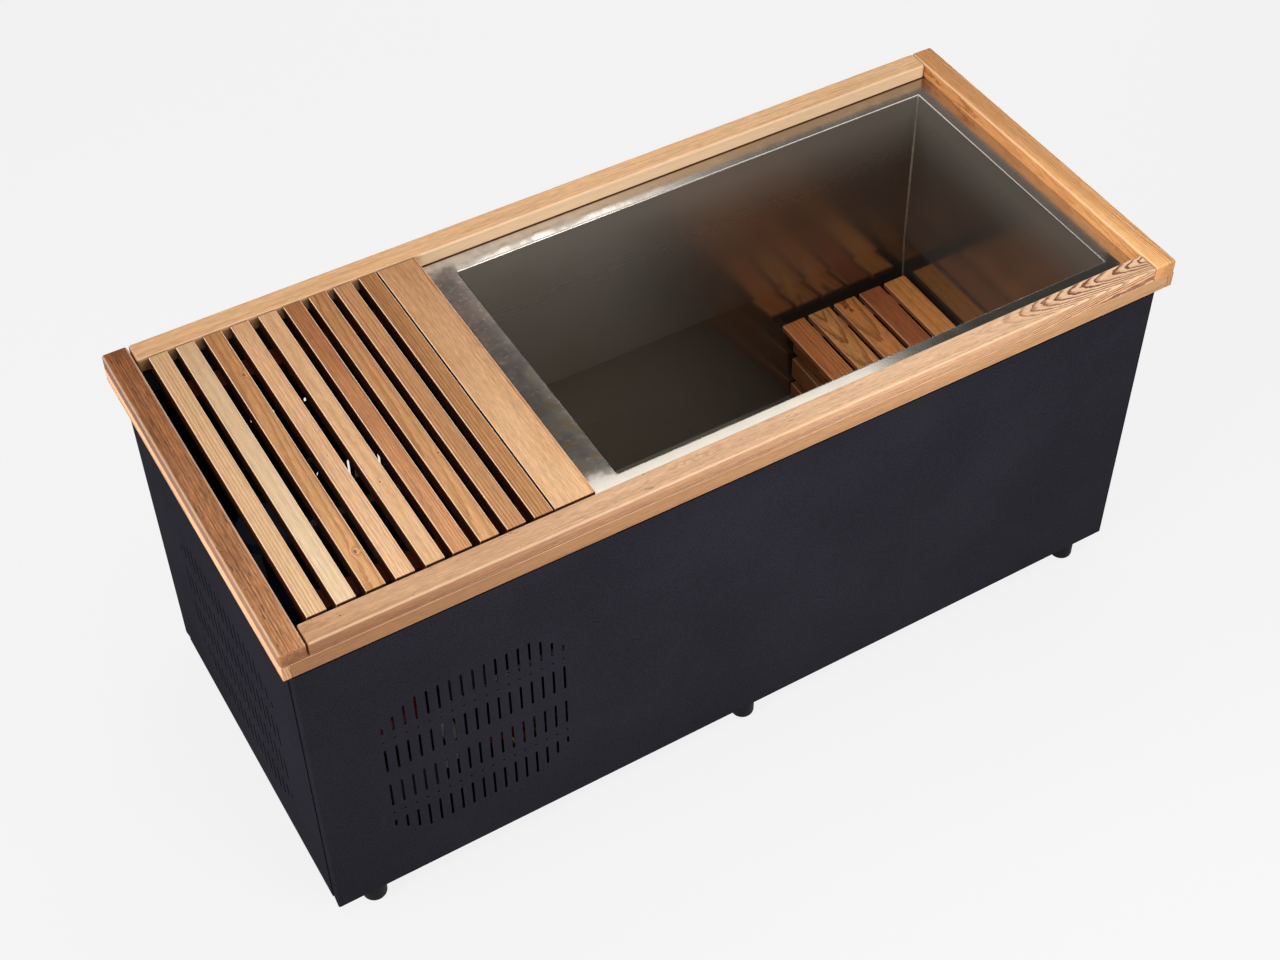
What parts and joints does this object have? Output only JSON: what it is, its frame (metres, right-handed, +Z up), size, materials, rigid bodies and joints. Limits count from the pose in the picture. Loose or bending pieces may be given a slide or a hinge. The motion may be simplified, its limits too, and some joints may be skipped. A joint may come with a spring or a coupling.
{
  "type": "cold plunge tub",
  "caption": "Free-standing cold plunge tub: a deep stainless basin with a wooden seat beside a slatted-over chiller bay, in a vented steel cabinet with a cedar rim.",
  "frame": {"origin": "on the ground, below the middle of the cedar top", "axes": "+X along the length from the chiller end to the seat end, +Y from the front to the back, +Z up"},
  "size_m": [1.95, 0.842, 0.855],
  "materials": {
    "coated_steel": "satin charcoal powder coat",
    "galvanised": "galvanised steel",
    "stainless": "satin stainless steel",
    "rubber": "black rubber",
    "foam": "rigid insulating foam",
    "cedar_rail": "smooth sealed red cedar",
    "cedar_fascia": "smooth sealed red cedar",
    "cedar_slat": "planed cedar, pale to tan",
    "cedar_seat": "oiled red cedar",
    "black_paint": "black enamel",
    "fins": "bare aluminium",
    "copper": "bright copper",
    "blue_plastic": "glossy blue plastic",
    "red_paint": "red enamel",
    "grey_plastic": "pale grey plastic",
    "white_pipe": "white pipe",
    "brass": "plain brass"
  },
  "bodies": {
    "cabinet": {"front_panel": "coated_steel", "back_panel": "coated_steel", "left_panel": "coated_steel", "right_panel": "coated_steel", "base_pan": "galvanised", "chassis_frame": "galvanised", "basin": "stainless", "suction_fitting": "stainless", "return_fitting": "stainless", "foot_front_left": "rubber", "foot_front_middle": "rubber", "foot_front_right": "rubber", "foot_back_left": "rubber", "foot_back_middle": "rubber", "foot_back_right": "rubber", "cable_gland": "rubber", "basin_jacket": "foam", "left_rail": "cedar_rail", "right_rail": "cedar_rail", "front_rail": "cedar_rail", "back_rail": "cedar_rail", "left_fascia": "cedar_fascia", "right_fascia": "cedar_fascia", "front_fascia": "cedar_fascia", "back_fascia": "cedar_fascia", "compressor": "black_paint", "condenser_coil": "fins", "copper_line": "copper", "filter_canister": "blue_plastic", "circulation_pump": "red_paint", "heat_exchanger": "grey_plastic", "control_box": "grey_plastic", "suction_pipe": "white_pipe", "transfer_pipe": "white_pipe", "return_pipe": "white_pipe", "drain_valve": "brass"},
    "cover": {"slat_1": "cedar_slat", "slat_2": "cedar_slat", "slat_3": "cedar_slat", "slat_4": "cedar_slat", "slat_5": "cedar_slat", "slat_6": "cedar_slat", "slat_7": "cedar_slat", "slat_8": "cedar_slat", "slat_9": "cedar_slat", "cover_plank": "cedar_slat", "batten_front": "cedar_fascia", "batten_back": "cedar_fascia"},
    "seat": {"seat_slat_1": "cedar_seat", "seat_slat_2": "cedar_seat", "seat_slat_3": "cedar_seat", "seat_slat_4": "cedar_seat", "seat_slat_5": "cedar_seat", "seat_side_slat_1": "cedar_seat", "seat_side_slat_2": "cedar_seat", "seat_side_slat_3": "cedar_seat", "seat_frame_front": "cedar_seat", "seat_frame_back": "cedar_seat"},
    "fan": {"condenser_fan": "black_paint"},
    "lever": {"drain_lever": "red_paint"}
  },
  "joints": [
    {"name": "cover_lift", "type": "slide", "parent": "cabinet", "child": "cover", "axis": [0, 0, 1], "range_m": [0, 0.2]},
    {"name": "seat_lift", "type": "slide", "parent": "cabinet", "child": "seat", "axis": [0, 0, 1], "range_m": [0, 0.8]},
    {"name": "fan_spin", "type": "hinge", "parent": "cabinet", "child": "fan", "pos_m": [-0.63, 0.2737, 0.378], "axis": [0, 1, 0], "continuous": true},
    {"name": "drain_turn", "type": "hinge", "parent": "cabinet", "child": "lever", "pos_m": [-0.4583, -0.2794, 0.138], "axis": [0, 0, 1], "range_deg": [0, 90]}
  ]
}
